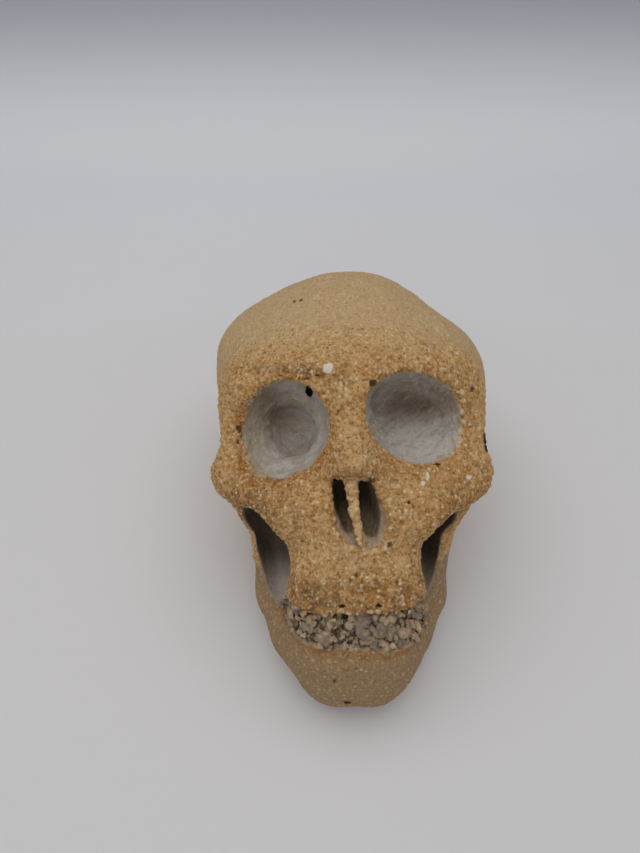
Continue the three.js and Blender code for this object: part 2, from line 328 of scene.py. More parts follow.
def on_grid(spans):
    x, y, z = (axes[k][spans[k]] for k in range(3))
    return x[:, None, None], y[None, :, None], z[None, None, :]


def sample(form):
    """Values of the form on the grid, worked out only in the blocks that its surface crosses."""
    middles = [axis[BLOCK // 2::BLOCK] for axis in axes]
    x, y, z = middles[0][:, None, None], middles[1][None, :, None], middles[2][None, None, :]
    rough = form(x, y, z)
    reach = 0.5 * BLOCK * VOXEL * math.sqrt(3) * 1.15 + FAR
    volume = np.where(rough > 0, FAR, -FAR).astype(np.float32)
    for axis in range(3):
        volume = np.repeat(volume, BLOCK, axis)
    for block in np.argwhere(np.abs(rough) < reach):
        spans = tuple(slice(k * BLOCK, (k + 1) * BLOCK) for k in block)
        volume[spans] = np.clip(form(*on_grid(spans)), -FAR, FAR)
    return volume


def spans_of(low, high):
    spans = []
    for k in range(3):
        start = int((low[k] - GRID_LOW[k]) / VOXEL)
        stop = int((high[k] - GRID_LOW[k]) / VOXEL) + 2
        spans.append(slice(max(start, 0), min(stop, counts[k])))
    return tuple(spans)


def stamp(volume, shape, centre, reach, mix, softness):
    """Blends a small shape into the sampled form, or carves it out."""
    spans = spans_of([c - reach for c in centre], [c + reach for c in centre])
    volume[spans] = np.clip(mix(volume[spans], shape(*on_grid(spans)), softness), -FAR, FAR)


def front_at(volume, x, y):
    """z of the outermost clay at x, y, seen straight from the front."""
    column = volume[round((x - GRID_LOW[0]) / VOXEL), round((y - GRID_LOW[1]) / VOXEL)]
    return axes[2][np.nonzero(column < 0)[0][-1]]


volume = sample(skull_form)


# ---------- the torn, pebbly tooth band and the frayed septum ----------
def edge_at(arch, x, z):
    """y of the upper or lower edge of the tooth band, slanted like the bite."""
    return arch_at(arch, x) - BITE_SLOPE * (z - BITE_FRONT)


def tooth_mask(x, y, z):
    below_lip = edge_at(LIP, x, z) - y
    above_gum = y - edge_at(GUM, x, z)
    return ramp(below_lip, -0.1, 0.5) * ramp(above_gum, -0.5, 0.3) * ramp(z, 0, 3)


def dome(reach):
    """Height of a steep-sided lump, 1 in its middle and 0 from a reach of 1 on."""
    return np.maximum(1 - reach ** 2, 0) ** 0.65


def pebbles(points):
    """Height of the torn lumps, how deep between them a point lies, and each lump's own number."""
    coarse = lattice_columns(points, 1.3, (0.0, 17.0, 41.0))
    fine = lattice_columns(points, 0.5, (5.0, 23.0, 37.0))
    warped = (points + 0.5 * coarse + 0.25 * fine) * (1, 0.85, 1)
    big, big_chance, tint = cells(warped, PEBBLE_PITCH, SEED + 5)
    small, small_chance, small_tint = cells(warped + 9.0, SMALL_PEBBLE_PITCH * PEBBLE_PITCH, SEED + 6)
    big_dome = dome(big / PEBBLE_REACH) * ramp(big_chance, 0.25, 0.45)
    small_dome = SMALL_PEBBLE_HEIGHT * dome(small / SMALL_PEBBLE_REACH) * (0.5 + 0.5 * small_chance)
    tint = np.where(big_dome > small_dome, tint, small_tint)
    height = np.maximum(big_dome, small_dome)
    worn = patch(points[:, 0], points[:, 1], WORN_LUMP)
    calm = 1 - 0.7 * worn
    # painted shade: dark between the lumps
    crevice_shade = (1 - ramp(height, 0.05, 0.55)) * calm
    return (height - 0.6) * calm, crevice_shade, (0.15 + 0.7 * tint) * (1 - 0.9 * worn)


def near_surface(volume, box, wanted):
    """The sampled values in a box, which of them lie near the surface where wanted, and where."""
    spans = spans_of(*box)
    x, y, z = np.broadcast_arrays(*on_grid(spans))
    here = volume[spans]
    near = wanted(x, y, z) & (np.abs(here) < FAR)
    return here, near, np.stack([x[near], y[near], z[near]], axis=1)


def roughen_teeth(volume):
    here, near, points = near_surface(volume, TEETH_BOX, lambda x, y, z: tooth_mask(x, y, z) > 0.01)
    height = pebbles(points)[0]
    here[near] -= (height * PEBBLE_HEIGHT * tooth_mask(*points.T)).astype(np.float32)


def fray_septum(volume):
    here, near, points = near_surface(volume, SEPTUM_BOX, lambda x, y, z: septum_form(x, y, z) < 0.9)
    worn = 0.16 + 0.16 * lattice.at(points + 3.0, 1.3) + 0.07 * lattice.at(points, 0.5)
    here[near] += worn.astype(np.float32)


roughen_teeth(volume)
fray_septum(volume)


# ---------- single grains: x, y seen from the front, and radius across and up ----------
WHITE_GRAINS = (
    (-4.7, 23.3, 1.05, 0.95), (15.0, 2.3, 0.45, 0.95), (24.0, 1.9, 0.65, 0.5), (14.0, 1.1, 0.45, 0.45),
)
CREAM_GRAINS = (
    (4.3, 23.4, 0.45, 0.45), (14.9, 25.5, 0.4, 0.4), (-12.2, 23.7, 0.45, 0.45), (-24.3, 26.4, 0.4, 0.4),
    (-4.6, -13.1, 0.5, 0.3), (-10.6, -15.6, 0.4, 0.5), (-7.7, -14.0, 0.5, 0.35), (10.9, -14.8, 0.75, 0.4),
    (1.6, -18.1, 0.45, 0.45), (12.9, 3.0, 0.4, 0.3), (-0.2, -10.9, 0.5, 0.4), (6.2, -11.0, 0.7, 0.6),
    (22.6, 19.2, 0.6, 0.5), (23.2, 17.4, 0.7, 0.6), (23.0, 15.3, 0.5, 0.7), (23.5, 13.2, 0.6, 0.5),
    (22.9, 11.2, 0.7, 0.6), (22.0, 9.6, 0.5, 0.5), (22.3, 8.0, 0.6, 0.5), (20.8, 6.8, 0.6, 0.4),
    (21.3, 20.9, 0.6, 0.5), (18.1, 23.5, 0.8, 0.4), (19.5, 22.2, 0.5, 0.4), (-1.2, 18.0, 0.5, 0.5),
    (7.0, -2.0, 0.6, 0.7), (7.9, -4.6, 0.5, 0.6), (7.3, -7.4, 0.7, 0.5), (4.2, -11.6, 0.7, 0.5),
    (2.0, -12.2, 0.6, 0.4), (-3.0, -8.4, 0.5, 0.6), (9.0, 0.4, 0.5, 0.5), (-5.0, -3.2, 0.4, 0.6),
    (-2.2, -23.0, 0.6, 0.5), (-0.6, -23.4, 0.6, 0.45), (0.9, -23.6, 0.5, 0.4), (3.4, -23.2, 0.8, 0.4),
    (4.8, -23.0, 0.6, 0.45), (9.6, -21.6, 0.5, 0.4),
)
NOSE_LUMP = (0.4, 4.7, 1.45, 1.5)  # of plain clay

# ---------- single pits: the same four numbers, and the depth ----------
PITS = (
    (4.0, 20.4, 0.7, 0.5, 1.2), (25.2, 19.9, 0.5, 0.5, 0.5), (4.9, -21.9, 0.75, 0.38, 1.2),
    (-11.9, 39.4, 0.35, 0.45, 0.6), (-10.4, 39.6, 0.3, 0.4, 0.6), (-0.6, -43.9, 0.6, 0.3, 0.7),
    (17.2, 4.5, 0.9, 0.3, 0.8), (-3.4, -37.8, 0.22, 0.5, 0.5), (7.0, -10.6, 0.6, 0.5, 0.5),
    (0.7, -16.2, 0.22, 0.7, 0.5), (8.7, -17.5, 0.6, 0.22, 0.5), (-23.2, 11.6, 0.4, 0.8, 0.6),
    (-23.4, 9.0, 0.35, 0.5, 0.6), (11.0, -2.6, 0.4, 0.35, 0.6), (-2.0, -22.0, 0.5, 0.3, 0.7),
    # the first two pits on the next line are darkened as painted shade at the top edge of the nose hollow
    (-3.4, 1.6, 0.8, 0.4, 0.8), (3.7, 1.8, 0.8, 0.45, 0.8), (-9.0, 21.3, 0.6, 0.3, 0.5),
    (-6.8, 21.9, 0.5, 0.3, 0.4),
)
BLACK_HOLE = (-8.4, 19.3, 0.85, 1.15, 2.6)
BEAD_RADII = (0.75, 0.75, 0.9)
GRAIN_FILLET = 0.2
PIT_FILLET = 0.15
BEAD_FILLET = 0.5


def place_details(volume):
    """Stamps the single grains and pits in, and returns where each of them lies."""
    grains, pits = [], []
    for x, y, across, up in (*WHITE_GRAINS, *CREAM_GRAINS, NOSE_LUMP):
        centre = (x, y, front_at(volume, x, y))
        grain = ellipsoid(centre, (across, up, 0.35 + 0.3 * across))
        stamp(volume, grain, centre, 2.5, blend, GRAIN_FILLET)
        grains.append((centre, across, up))
    for x, y, across, up, depth in (*PITS, BLACK_HOLE):
        centre = (x, y, front_at(volume, x, y))
        pit = ellipsoid(centre, (across, up, depth))
        stamp(volume, pit, centre, 1.2 + depth, carve, PIT_FILLET)
        pits.append((centre, across, up))
    stamp(volume, ellipsoid(CHIN_BEAD, BEAD_RADII), CHIN_BEAD, 2.0, blend, BEAD_FILLET)
    return grains, pits


grains, pits = place_details(volume)
whites = grains[:len(WHITE_GRAINS)]
creams = grains[len(WHITE_GRAINS):-1]             # without the nose lump, which comes last
pits, black_hole = pits[:-1], pits[-1:]
whole_grid = (slice(None), slice(None), slice(None))
under_table = np.clip(above_table(*on_grid(whole_grid)), -FAR, FAR)
volume = np.maximum(volume, under_table).astype(np.float32)


# ---------- the skin ----------
def surface(volume):
    grid = openvdb.FloatGrid(FAR)
    grid.copyFromArray(volume)
    points, quads = grid.convertToQuads(0.0)
    return points * VOXEL + GRID_LOW, quads


def to_world(points, offset):
    sin, cos = math.sin(LEAN_BACK), math.cos(LEAN_BACK)
    x, y, z = points.T
    return np.stack([x, y * cos - z * sin, y * sin + z * cos + FLOOR_BELOW], axis=1) + offset


def vertex_normals(points, quads):
    face = np.cross(points[quads[:, 2]] - points[quads[:, 0]], points[quads[:, 3]] - points[quads[:, 1]])
    normals = np.zeros_like(points)
    for corner in range(4):
        for k in range(3):
            normals[:, k] += np.bincount(quads[:, corner], face[:, k], len(points))
    return normals / np.maximum(np.linalg.norm(normals, axis=1, keepdims=True), 1e-9)


points, quads = surface(volume)
normals = vertex_normals(points, quads)
if np.sum(normals * (points - points.mean(axis=0))) < 0:
    quads = quads[:, ::-1]
    normals = -normals
world = to_world(points, 0.0)
middle_of_cad = (np.array(CAD_BOX[0]) + np.array(CAD_BOX[1])) / 2 / MM
OFFSET = middle_of_cad - (world.min(axis=0) + world.max(axis=0)) / 2
OFFSET[2] = 0.0


def spots(points, places, grow=1.0, deep=3.0):
    """1 in the middle of each listed grain or pit, falling to 0 at its edge."""
    total = np.zeros(len(points))
    ragged = 0.45 * lattice.at(points + 19.0, 0.7)
    for (x, y, z), across, up in places:
        away = ((points[:, 0] - x) / (across * grow)) ** 2 + ((points[:, 1] - y) / (up * grow)) ** 2
        away = away + ((points[:, 2] - z) / deep) ** 2 + ragged
        total = np.maximum(total, ramp(-away, -1.15, -0.75))
    return total


# ---------- soft patches of colour: x, y seen from the front, and reach across and up ----------
SHADE_RIGHT = (-19.0, 16.4, 7.0, 4.8)             # brown, in the right socket's upper outer part
SHADE_LEFT = (13.5, 16.2, 7.5, 3.4)               # brown, in the left socket's upper part
SHADE_SLOPE = 0.3                                 # how fast the right one rises outwards
CHALK = (-1.5, -12.3, 3.5, 2.0)                   # pale clay below the nose
# painted shade along the top edge of the nose hollow
NOSE_ROOT_SHADE = (MIDLINE, 2.6, 6.5, 1.5)
BRIDGE = (0.5, 12.0, 6.0, 10.0)
OUTER_RIM = (25.5, 14.0, 2.5, 9.0)
UNDER_CHEEK_SHADE = (21.0, -4.0, 8.0, 5.5)              # painted shade under the cheekbones; x is counted from the midline, on both sides
RAGGED = ((1.8, 0.6, 21.0), (0.6, 0.3, 9.0))      # the torn edge of the scraped clay, as layers of noise


def hollow_regions(points, socket, nose):
    """Kinds of wall inside the sockets, the nose and the side recesses, with painted shade in the deep
    hollows and painted light on some lower walls.
    """
    x, y, z = points.T
    recess = np.minimum(right_recess(x, y, z), left_recess(x, y, z))
    depth = layered(points, RAGGED) - head_form(x, y, z)
    in_socket = ramp(-socket, -0.7, 0.0) * ramp(depth, 0.5, 1.5)
    in_nose = ramp(-nose, -0.7, 0.0) * ramp(depth, 0.2, 1.8)
    in_recess = ramp(-recess, -0.5, 0.0)
    shade = 1.1 * patch(x, y + SHADE_SLOPE * (x - SHADE_RIGHT[0]), SHADE_RIGHT)
    shade = shade + 0.8 * patch(x, y, SHADE_LEFT) + 0.25 * ramp(y, 13.0, 19.0)
    channels = (1 - ramp(x + 0.12 * y, 3.0, 4.8)) * ramp(x, -4.6, -3.0)
    # painted shade: the deep channels of the nose and the deep upper part of the side recesses are
    # darkened
    deep_nose = in_nose * ramp(depth, 2.8, 5.5) * ramp(y, -7.5, -2.0) * channels
    deep_recess = in_recess * ramp(y, -23.5, -15.5) * ramp(-z, -12.0, -3.0)
    # painted light: the lower floor of the left socket and the lower mouth of the side recesses are made
    # paler
    lit_left_floor = in_socket * ramp(13.0 - y, -3.0, 4.0) * ramp(x, 4.0, 12.0)
    outer_wall = 0.9 * band(x, -21.5, 3.4)
    return {
        "scraped": np.maximum(np.maximum(in_socket, 0.8 * in_nose), 0.85 * in_recess),
        "brown": np.maximum(in_socket * np.clip(shade, 0, 1), in_nose * (0.25 + 0.6 * ramp(y, -5.0, 1.0))),
        "ochre": np.maximum(0.9 * ramp(in_nose, 0.0, 0.35), outer_wall * in_socket),
        "pale": np.maximum(lit_left_floor, in_recess * ramp(-y, 15.0, 21.0)),
        "deep_shade": np.clip(0.9 * deep_nose + 0.75 * deep_recess, 0, 1),
    }


def outer_regions(points, socket, nose):
    """Kinds of skin outside the hollows."""
    x, y, z = points.T
    front = ramp(z, -8, 2)
    from_edge = np.abs(np.minimum(socket, nose))
    above_lip = y - edge_at(LIP, x, z)
    on_upper_jaw = ramp(above_lip, -0.2, 0.4) * front
    ragged = 1.2 * lattice.at(points + 81.0, 2.2)
    fringe = band(y - edge_at(GUM, x, z) + ragged, -0.9, 0.9) * ramp(z, 2, 6)
    brow = band(y, 23.0, 3.2) * front
    brow_shade = band(y + 0.12 * x, 21.6, 1.3) * ramp(x, -22, -16) * ramp(-x, 0, 3) * front
    # painted shade under the cheekbones, laid in with the dark brown and the rust
    cheek_underside_shade = patch(np.abs(x - MIDLINE), y, UNDER_CHEEK_SHADE) * ramp(z, -14, -4)
    umber_and_shade = 0.9 * ramp(-y, 15.0, 19.0) * on_upper_jaw + 0.7 * fringe + brow_shade
    umber_and_shade = umber_and_shade + patch(x, y, NOSE_ROOT_SHADE) * front + cheek_underside_shade * (0.5 + 0.5 * ramp(-x, -4, 8))
    rust_and_shade = 0.9 * ramp(-y, 13, 19) * on_upper_jaw + 0.6 * fringe + 0.4 * brow
    rust_and_shade = rust_and_shade + 1.1 * np.exp(-from_edge / 2.0) * front + 1.3 * cheek_underside_shade
    dense = (patch(x, y, BRIDGE) + patch(x, y, OUTER_RIM)) * front + 0.5 * brow
    return {
        "rim": np.exp(-from_edge / 0.7) * front,
        "umber_and_shade": np.clip(umber_and_shade, 0, 1),
        "rust_and_shade": np.clip(rust_and_shade, 0, 1),
        "crown": ramp(y - 0.35 * z, 20, 32),
        "jaw": ramp(-above_lip, 0, 2),
        "chalk": 0.6 * patch(x, y, CHALK) * front,
        "dense": np.clip(dense, 0, 1),
    }


def regions(points):
    """Where each kind of surface lies, from 0 to 1."""
    x, y, z = points.T
    socket = np.minimum(right_socket(x, y, z), left_socket(x, y, z))
    nose = nose_hollow(x, y, z)
    teeth = tooth_mask(x, y, z) * ramp(edge_at(LIP, x, z) - y, 0.0, 0.3)
    septum = ramp(-septum_form(x, y, z), -0.7, -0.3) * ramp(z, 14.5, 16.5)
    found = {**hollow_regions(points, socket, nose), **outer_regions(points, socket, nose)}
    for key in ("scraped", "umber_and_shade", "rust_and_shade", "jaw"):
        found[key] = found[key] * (1 - teeth)
    for key in ("scraped", "umber_and_shade", "rust_and_shade", "deep_shade", "chalk"):
        found[key] = found[key] * (1 - septum)
    found["teeth"] = teeth
    found["septum"] = septum
    return found


# ---------- the marks on the skin ----------
DENTS = ((6.5, 0.28, 0.0), (2.8, 0.13, 31.0))     # layers of noise: pitch, height, shift
CRUMBS = ((1.5, 0.22, 2.0), (0.8, 0.40, 14.0), (0.48, 0.55, 27.0))
STROKES = ((1.0, 0.6, 3.0), (0.5, 0.4, 47.0))
CRUMB_HEIGHT = 0.38
TOOTH_CRUMB_HEIGHT = 0.22
STROKE_HEIGHT = 0.16
BRUSH_HEIGHT = 0.035
PIT_DEPTH = 0.24
CRACK_DEPTH = 0.16
WOBBLE = 0.22                                     # how far the grains' outlines are pushed about
PIT_PITCH = 1.5
GRAIN_LAYERS = (                                  # pitch, rarity, radius in pitches, height
    (0.72, 0.60, 0.60, 0.09),
    (1.25, 0.62, 0.46, 0.17),
    (2.5, 0.78, 0.32, 0.24),
)
STROKES_RIGHT = -4.5                              # x that parts the right socket's strokes from the rest
NOSE_TOP = 2.5
NOSE_MIDDLE = 1.5
NOSE_HALF_WIDTH = 8.0


def strokes(points):
    """Marks of the scraping tool, drawn out along its path.

    It went around the right socket's pit, slanted through the left one and upright in the nose.
    """
    x, y, z = points.T
    from_pit_x = x - RIGHT_PIT[0]
    from_pit_y = y - RIGHT_PIT[1]
    out_from_pit = np.hypot(from_pit_x, from_pit_y)
    around_pit = np.arctan2(from_pit_y, from_pit_x)
    ring = np.stack([1.7 * out_from_pit, 2.4 * around_pit, 0.6 * z], axis=1)
    slant = np.stack([0.3 * (x + 0.8 * y), 1.3 * (y - 0.8 * x), 0.8 * z], axis=1)
    upright = np.stack([2.0 * x, 0.35 * y, 0.4 * z], axis=1)
    on_right = x < STROKES_RIGHT
    by_nose = (y < NOSE_TOP) & (np.abs(x - NOSE_MIDDLE) < NOSE_HALF_WIDTH)
    path = np.where(on_right[:, None], ring, slant)
    path = np.where(by_nose[:, None], upright, path)
    strength = np.where(on_right, 0.55, 0.9)
    return strength * layered(path, STROKES)


def brush_marks(points, region):
    """Fine lines that run down the jaw and the crown."""
    x, y, z = points.T
    path = np.stack([(x - 0.45 * y * np.sign(x)) * 1.6, y * 0.35, z * 0.8], axis=1)
    return lattice.at(path + 11.0, 0.8) * np.maximum(region["jaw"], 0.6 * region["crown"])


def small_grains(points, region, smooth):
    """Height of the small grains of grog, where they are, and each one's own number."""
    height = np.zeros(len(points))
    grain = np.zeros(len(points))
    tint = np.full(len(points), 0.5)
    for number, (pitch, rarity, radius, tall) in enumerate(GRAIN_LAYERS):
        nearest, chance, own = cells(points, pitch, SEED + 10 + number)
        rare = rarity + (1 - rarity) * 0.75 * smooth - 0.28 * region["dense"]
        present = ramp(chance - rare, 0.0, 0.08)
        size = radius * (0.5 + 0.5 * own)
        bump = ramp(-nearest / size, -1.0, -0.6) * present * (1 - region["teeth"])
        height += tall * bump * (1 - 0.5 * smooth)
        tint = np.where(bump > grain, own, tint)
        grain = np.maximum(grain, bump)
    return height, grain, tint


def small_pits(points, region, smooth):
    nearest, chance, own = cells(points, PIT_PITCH, SEED + 20)
    present = ramp(chance - 0.60 - 0.35 * smooth, 0.0, 0.05) * (1 - region["teeth"])
    return ramp(-nearest / (0.14 + 0.18 * own), -1.0, -0.2) * present


def cracks(points, coarse):
    line = 1 - ramp(np.abs(lattice.at(points + 61.0, 1.5)), 0.02, 0.13)
    return line * ramp(lattice.at(points + 71.0, 2.4), 0.12, 0.45) * coarse


def relief(points, region):
    """Height of the hand's marks, grains and pits, and the masks that colour them."""
    smooth = np.clip(0.95 * region["scraped"] + 0.8 * region["crown"] + 0.85 * region["jaw"], 0, 1)
    coarse = (1 - smooth) * (1 - region["teeth"])
    crumbs = layered(points, CRUMBS)
    stroke = strokes(points) * region["scraped"]
    broken = 0.35 + 0.65 * ramp(np.abs(points[:, 0] - MIDLINE), 14.0, 20.0)
    torn_rim = 0.30 * lattice.at(points + 13.0, 1.3) + 0.22 * crumbs
    wobble = WOBBLE * lattice_columns(points, 0.55, (5.0, 29.0, 43.0))
    grain_height, grain, tint = small_grains(points + wobble, region, smooth)
    pit = small_pits(points + 50.0 + 1.4 * wobble, region, smooth)
    crack = cracks(points, coarse)
    height = layered(points, DENTS) * (1 - 0.6 * region["scraped"]) + grain_height
    height += CRUMB_HEIGHT * crumbs * (0.12 + coarse) + TOOTH_CRUMB_HEIGHT * crumbs * region["teeth"]
    height += STROKE_HEIGHT * stroke + BRUSH_HEIGHT * brush_marks(points, region)
    height += region["rim"] * broken * torn_rim - PIT_DEPTH * pit - CRACK_DEPTH * crack
    rough = np.clip(0.5 + crumbs * (0.25 + 0.65 * coarse + 0.4 * region["teeth"]), 0, 1)
    return {
        "height": height, "coarse": coarse, "grain": grain * (1 - pit), "tint": tint,
        "pit": pit, "crack": crack, "rough": rough, "stroke": 0.5 + 0.5 * stroke,
    }


looks = regions(points)
marks = relief(points, looks)
_, crevice_shade, lump_tint = pebbles(points)
white = spots(points, whites)
cream = spots(points, creams)
hole = spots(points, black_hole, deep=6.0)
dug = spots(points, pits, grow=1.1)
from_stain = (((points - STAIN) / STAIN_REACH) ** 2).sum(axis=1)
stain = ramp(-from_stain - 0.5 * lattice.at(points + 33.0, 1.2), -1.0, -0.5)
height = marks.pop("height") * (1 - np.maximum(np.maximum(white, hole), 0.6 * cream))
points = points + normals * height[:, None]
sunk = np.maximum(above_table(*points.T), 0)      # what the marks pushed below the table comes back up
points += np.outer(sunk, [0, math.sin(LEAN_BACK), math.cos(LEAN_BACK)])
looks.update(marks)
looks["tint"] = looks["tint"] * (1 - looks["teeth"]) + lump_tint * looks["teeth"]
looks["pit"] = np.maximum(looks["pit"], dug)
looks["cream"] = np.maximum(cream, looks.pop("chalk") * ramp(lattice.at(points, 0.9), -0.5, 0.3))
# painted shade between the lumps of the tooth band
looks["crevice_shade"] = crevice_shade * looks["teeth"]
looks["white"] = white
looks["hole"] = np.maximum(hole, stain)
del looks["dense"], looks["rim"]                  # the shader doesn't use these two


def make_mesh(name, points_mm, faces, attributes=None):
    mesh = bpy.data.meshes.new(name)
    mesh.vertices.add(len(points_mm))
    mesh.vertices.foreach_set("co", (points_mm * MM).astype(np.float32).ravel())
    corners = faces.shape[1]
    mesh.loops.add(faces.size)
    mesh.loops.foreach_set("vertex_index", faces.astype(np.int32).ravel())
    mesh.polygons.add(len(faces))
    mesh.polygons.foreach_set("loop_start", np.arange(0, faces.size, corners, dtype=np.int32))
    mesh.polygons.foreach_set("loop_total", np.full(len(faces), corners, dtype=np.int32))
    mesh.update(calc_edges=True)
    mesh.shade_smooth()
    for key, values in (attributes or {}).items():
        layer = mesh.attributes.new(key, "FLOAT", "POINT")
        layer.data.foreach_set("value", values.astype(np.float32))
    piece = bpy.data.objects.new(name, mesh)
    bpy.context.scene.collection.objects.link(piece)
    return piece


skin = make_mesh("skull_skin", to_world(points, OFFSET), quads, looks)


# ---------- materials ----------
def node(tree, kind, **settings):
    made = tree.nodes.new(kind)
    for key, value in settings.items():
        setattr(made, key, value)
    return made


def mix_colour(tree, factor, a, b, mode="MIX"):
    mixer = node(tree, "ShaderNodeMix", data_type="RGBA", blend_type=mode)
    for socket, value in ((mixer.inputs[0], factor), (mixer.inputs[6], a), (mixer.inputs[7], b)):
        if isinstance(value, bpy.types.NodeSocket):
            tree.links.new(value, socket)
        elif isinstance(value, tuple):
            socket.default_value = (*value, 1)
        else:
            socket.default_value = value
    return mixer.outputs[2]


def attribute(tree, name):
    return node(tree, "ShaderNodeAttribute", attribute_name=name).outputs["Fac"]


def ramped(tree, source, low, high, start=0.0, end=1.0):
    mapper = node(tree, "ShaderNodeMapRange", interpolation_type="SMOOTHSTEP")
    tree.links.new(source, mapper.inputs["Value"])
    for key, value in (("From Min", low), ("From Max", high), ("To Min", start), ("To Max", end)):
        mapper.inputs[key].default_value = value
    return mapper.outputs["Result"]


def times(tree, a, b):
    product = node(tree, "ShaderNodeMath", operation="MULTIPLY")
    for socket, value in zip(product.inputs, (a, b)):
        if isinstance(value, bpy.types.NodeSocket):
            tree.links.new(value, socket)
        else:
            socket.default_value = value
    return product.outputs[0]


def noise(tree, where, size_mm, detail, roughness):
    made = node(tree, "ShaderNodeTexNoise")
    tree.links.new(where, made.inputs["Vector"])
    made.inputs["Scale"].default_value = 1 / (size_mm * MM)
    made.inputs["Detail"].default_value = detail
    made.inputs["Roughness"].default_value = roughness
    return made.outputs["Fac"]


# ---------- the colours of the clay ----------
TAN = (0.625, 0.372, 0.152)
CROWN_TAN = (0.59, 0.405, 0.214)
# also used as painted shade under the cheekbones
RUST_AND_SHADE = (0.47, 0.215, 0.048)
# also used as painted shade under the cheekbones, along the right brow and at the top edge of the nose
# hollow
UMBER_AND_SHADE = (0.24, 0.125, 0.05)
JAW_TAN = (0.35, 0.225, 0.12)
SCRAPED_GREY = (0.60, 0.56, 0.53)
SCRAPED_OCHRE = (0.47, 0.39, 0.28)
# painted light on the lower walls of the left socket and the side recesses
PAINTED_LIGHT_GREY = (0.64, 0.59, 0.54)
SHADED_BROWN = (0.20, 0.15, 0.105)
TOOTH_GREY = (0.28, 0.22, 0.165)
TOOTH_CREAM = (0.58, 0.42, 0.255)
GRAIN_CREAM = (0.78, 0.59, 0.34)
GRAIN_ORANGE = (0.60, 0.32, 0.10)
WHITE = (0.80, 0.72, 0.58)
HOLLOW_BROWN = (0.60, 0.50, 0.36)  # multiplies the colour of low spots
SOIL_BROWN = (0.20, 0.105, 0.04)
NOSE_OCHRE = (0.40, 0.33, 0.24)
STREAK_BROWN = (0.66, 0.60, 0.52)  # multiplies the colour between the tool's strokes
STREAK_PALE = (0.66, 0.62, 0.57)
DARK = (0.075, 0.048, 0.03)
BLACK = (0.012, 0.011, 0.012)


def specks(tree, where, pitch_mm, radius, rarity):
    """Scattered round specks, and a random value for each of them."""
    cell = node(tree, "ShaderNodeTexVoronoi", voronoi_dimensions="3D", feature="F1")
    tree.links.new(where, cell.inputs["Vector"])
    cell.inputs["Scale"].default_value = 1 / (pitch_mm * MM)
    own = node(tree, "ShaderNodeSeparateColor")
    tree.links.new(cell.outputs["Color"], own.inputs["Color"])
    present = ramped(tree, own.outputs["Red"], rarity, rarity + 0.02)
    inside = ramped(tree, cell.outputs["Distance"], radius, 0.6 * radius)
    return times(tree, inside, present), own.outputs["Green"]


# ---------- the clay ----------
RUST_PATCHES = 4.0                                # sizes of the clouds of colour, in mm
UMBER_BLOTCHES = 2.2
GREY_WASH = 2.6
FINE_SPECKS = 0.55
PALE_FLECKS = ((0.62, 0.46, 0.40, 0.6), (1.05, 0.38, 0.5, 0.9))     # pitch, radius, rarity, strength
DARK_FLECKS = (0.9, 0.32, 0.62)                   # pitch, radius, rarity
STAINS = (2.2, 0.28, 0.6)
# one of these coats is painted shade, dark in the deep hollows of the nose and the side recesses
LAST_COATS = (("crack", SOIL_BROWN, 0.4), ("deep_shade", DARK, 1.0), ("pit", DARK, 0.75),
              ("white", WHITE, 1.0), ("hole", BLACK, 1.0))
CLAY_ROUGHNESS = 0.85
CLAY_SPECULAR = 0.25
BUMP_PITCH = 0.35
BUMP_HEIGHT = 0.28
BUMP_STRENGTH = 0.8


def tinted(tree, colour, name, other, strength=1.0):
    """The colour, with another one laid over it where the named mask is high."""
    mask = attribute(tree, name)
    if strength < 1.0:
        mask = times(tree, mask, strength)
    return mix_colour(tree, mask, colour, other)


def body_colour(tree, where):
    """The plain clay, with rusty patches and dark brown blotches; both also lay painted shade under the
    cheekbones, and the brown lays it along the right brow and at the top edge of the nose hollow.
    """
    colour = tinted(tree, TAN, "crown", CROWN_TAN)
    colour = tinted(tree, colour, "jaw", JAW_TAN)
    patches = ramped(tree, noise(tree, where, RUST_PATCHES, 4.0, 0.6), 0.36, 0.62, 0.3, 1.0)
    colour = mix_colour(tree, times(tree, attribute(tree, "rust_and_shade"), patches), colour, RUST_AND_SHADE)
    blotches = ramped(tree, noise(tree, where, UMBER_BLOTCHES, 4.0, 0.65), 0.40, 0.58, 0.15, 0.95)
    return mix_colour(tree, times(tree, attribute(tree, "umber_and_shade"), blotches), colour, UMBER_AND_SHADE)


def flecked(tree, where, colour, speck, uneven):
    """The clay with its painted flecks and the colour of its raised grains."""
    pale = times(tree, ramped(tree, speck, 0.56, 0.70, 0.0, 0.35), uneven)
    colour = mix_colour(tree, pale, colour, GRAIN_CREAM)
    for pitch, radius, rarity, strength in PALE_FLECKS:
        fleck, own = specks(tree, where, pitch, radius, rarity)
        fleck = times(tree, fleck, ramped(tree, uneven, 0.35, 1.0, 0.8 * strength, strength))
        fleck = times(tree, fleck, ramped(tree, attribute(tree, "jaw"), 0.0, 1.0, 1.0, 0.5))
        stone = mix_colour(tree, ramped(tree, own, 0.2, 0.5), GRAIN_ORANGE, GRAIN_CREAM)
        colour = mix_colour(tree, fleck, colour, stone)
    dark_fleck, _ = specks(tree, where, *DARK_FLECKS)
    dark_fleck = times(tree, dark_fleck, ramped(tree, uneven, 0.35, 1.0, 0.3, 0.7))
    colour = mix_colour(tree, dark_fleck, colour, SOIL_BROWN)
    cream = ramped(tree, attribute(tree, "tint"), 0.15, 0.6)
    stones = mix_colour(tree, cream, GRAIN_ORANGE, GRAIN_CREAM)
    stones = mix_colour(tree, 0.6, colour, stones)
    return tinted(tree, colour, "grain", stones, 0.6)


